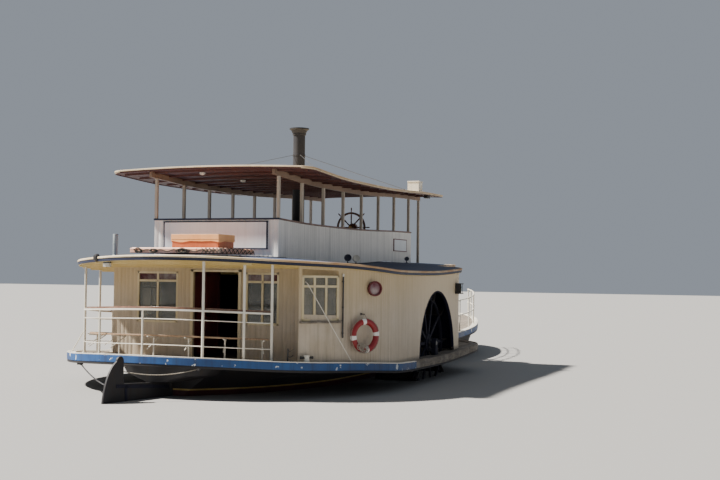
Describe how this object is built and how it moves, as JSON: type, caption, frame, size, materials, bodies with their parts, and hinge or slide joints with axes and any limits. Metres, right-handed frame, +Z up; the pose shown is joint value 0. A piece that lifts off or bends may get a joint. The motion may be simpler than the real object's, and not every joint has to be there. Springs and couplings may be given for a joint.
{
  "type": "paddle steamer",
  "caption": "Side-wheel paddle steamer with a round stern porch, enclosed wheel boxes, railed upper deck under a long roof, funnel, rudder and helm.",
  "frame": {"origin": "centre of the bounding box at the flat bottom of the hull", "axes": "+X forward to the bow, +Y to port, +Z up"},
  "size_m": [23.4914, 8.3, 7.23],
  "materials": {
    "hull_paint": "satin black hull paint, dulled at the waterline",
    "guard_paint": "bright blue paint on the rubbing band, chipped",
    "deck_timber": "weathered deck timber",
    "wall_paint": "cream paint on vertical boards",
    "inner_dark": "dark painted boards",
    "cream_trim": "cream painted joinery",
    "white_paint": "white enamel",
    "navy_paint": "dark blue roof and capping paint",
    "roof_edge": "tan painted canvas roof edge",
    "brown_timber": "varnished brown timber",
    "seat_timber": "worn seat boards",
    "paddle_timber": "wet timber floats in iron wheels",
    "dark_steel": "oiled iron",
    "black_paint": "matt black heat paint",
    "ring_paint": "red and white life ring paint",
    "raft_orange": "faded orange covering",
    "galvanised": "galvanised pipe"
  },
  "bodies": {
    "root": {"hull": "hull_paint", "main_deck_aft": "deck_timber", "main_deck_centre": "deck_timber", "main_deck_fore": "deck_timber", "deck_guard": "guard_paint", "sponson_aft_frame_port": "deck_timber", "sponson_aft_frame_starboard": "deck_timber", "sponson_frame_port": "deck_timber", "sponson_frame_starboard": "deck_timber", "shaft_bearing_port": "dark_steel", "shaft_bearing_starboard": "dark_steel", "wheel_case_port": "inner_dark", "wheel_case_starboard": "inner_dark", "quarter_wall": "wall_paint", "quarter_window": "cream_trim", "paddle_box_wall_starboard": "wall_paint", "paddle_box_wall_port": "wall_paint", "aft_bulkhead": "wall_paint", "aft_window_port": "cream_trim", "aft_window_starboard": "cream_trim", "port_cabin_wall": "wall_paint", "fore_cabin_wall_starboard": "wall_paint", "fore_cabin_wall_port": "wall_paint", "fore_bulkhead": "wall_paint", "boiler": "black_paint", "engine": "dark_steel", "promenade_roof": "navy_paint", "roof_rim": "roof_edge", "stern_rail_frame": "white_paint", "stern_handrail": "brown_timber", "stern_bench": "seat_timber", "bow_rail_starboard": "white_paint", "bow_rail_port": "white_paint", "boarding_stair": "seat_timber", "parapet_aft": "white_paint", "parapet_side_starboard": "white_paint", "parapet_side_port": "white_paint", "parapet_cap": "navy_paint", "upper_frame_starboard": "cream_trim", "upper_frame_port": "cream_trim", "upper_roof": "roof_edge", "funnel": "black_paint", "helm_pedestal": "brown_timber", "upper_bench_starboard": "seat_timber", "upper_bench_port": "seat_timber", "life_ring": "ring_paint", "float_mats": "raft_orange", "vent_pipe": "galvanised", "bollard": "white_paint", "bow_bitts": "black_paint", "side_light_starboard": "black_paint", "side_light_port": "black_paint", "roof_box": "white_paint"},
    "paddle_wheels": {"paddle_wheel_port": "paddle_timber", "paddle_wheel_starboard": "paddle_timber", "paddle_shaft": "dark_steel"},
    "rudder_blade": {"rudder": "hull_paint"},
    "aft_door_leaf": {"aft_door": "brown_timber"},
    "fore_door_leaf": {"fore_door": "brown_timber"},
    "helm": {"helm_wheel": "brown_timber"}
  },
  "joints": [
    {"name": "paddle_turn", "type": "hinge", "parent": "root", "child": "paddle_wheels", "pos_m": [-2.8543, 0, 1.56], "axis": [0, 1, 0], "continuous": true},
    {"name": "rudder_swing", "type": "hinge", "parent": "root", "child": "rudder_blade", "pos_m": [-9.7543, 0, 0.6], "axis": [0, 0, 1], "range_deg": [-24.6, 45.4]},
    {"name": "aft_door_swing", "type": "hinge", "parent": "root", "child": "aft_door_leaf", "pos_m": [-8.1663, 0.32, 2.4], "axis": [0, 0, 1], "range_deg": [-90, 20]},
    {"name": "fore_door_swing", "type": "hinge", "parent": "root", "child": "fore_door_leaf", "pos_m": [2.1657, 0.445, 2.4], "axis": [0, 0, 1], "range_deg": [0, 100]},
    {"name": "helm_turn", "type": "hinge", "parent": "root", "child": "helm", "pos_m": [0.6057, 0, 4.72], "axis": [1, 0, 0], "range_deg": [-246, 454]}
  ],
  "couplings": [
    {"joint": "helm_turn", "follows": "rudder_swing", "ratio": 10}
  ]
}
